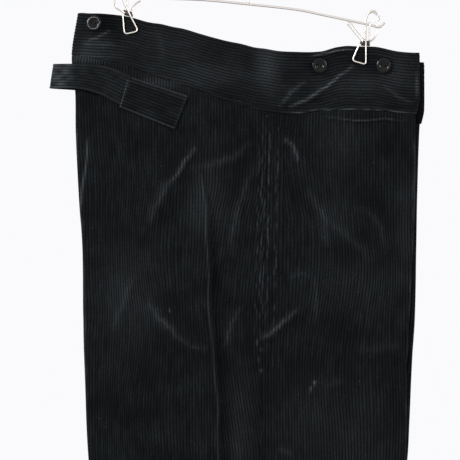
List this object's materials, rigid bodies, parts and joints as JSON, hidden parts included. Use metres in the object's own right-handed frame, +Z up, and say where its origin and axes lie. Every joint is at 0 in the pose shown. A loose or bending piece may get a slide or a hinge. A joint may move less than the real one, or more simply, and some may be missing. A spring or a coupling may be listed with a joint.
{
  "type": "corduroy trousers on a wire clip hanger",
  "caption": "Wide-rib black corduroy work trousers, folded on the centre back, hung by the waistband from a wire hanger with spring clips.",
  "frame": {"origin": "where the inner side of the hanger's hook rests on its rail", "axes": "+X from the centre back fold to the centre front, +Y from the wearer's right half to the left half, +Z up"},
  "size_m": [0.4467, 0.0606, 1.2402],
  "materials": {
    "corduroy": "broad-rib cotton corduroy, near black",
    "button": "dark polished, dished middle",
    "hanger_wire": "bright drawn steel wire",
    "clip_spring": "dull brown-grey spring",
    "strap_slide": "dark plated steel"
  },
  "bodies": {
    "root": {"back_left": "corduroy", "back_right": "corduroy", "button_back_left": "button", "button_back_right": "button", "button_front_left": "button", "button_front_right": "button", "button_side_front_left": "button", "button_side_front_right": "button", "clip_left_bail": "hanger_wire", "clip_left_front_jaw": "hanger_wire", "clip_left_rear_jaw": "hanger_wire", "clip_left_spring": "clip_spring", "clip_right_bail": "hanger_wire", "clip_right_front_jaw": "hanger_wire", "clip_right_rear_jaw": "hanger_wire", "clip_right_spring": "clip_spring", "fly_button_1": "button", "fly_button_2": "button", "fly_button_3": "button", "fly_placket": "corduroy", "front_left": "corduroy", "front_right": "corduroy", "hanger_bar": "hanger_wire", "hanger_hook": "hanger_wire", "pocket_edge_left": "corduroy", "pocket_edge_right": "corduroy", "strap_patch_left": "corduroy", "strap_patch_right": "corduroy", "strap_short": "corduroy", "strap_slide": "strap_slide", "strap_tongue": "corduroy", "waist_button": "button", "waistband_left": "corduroy", "waistband_right": "corduroy"}
  },
  "joints": []
}
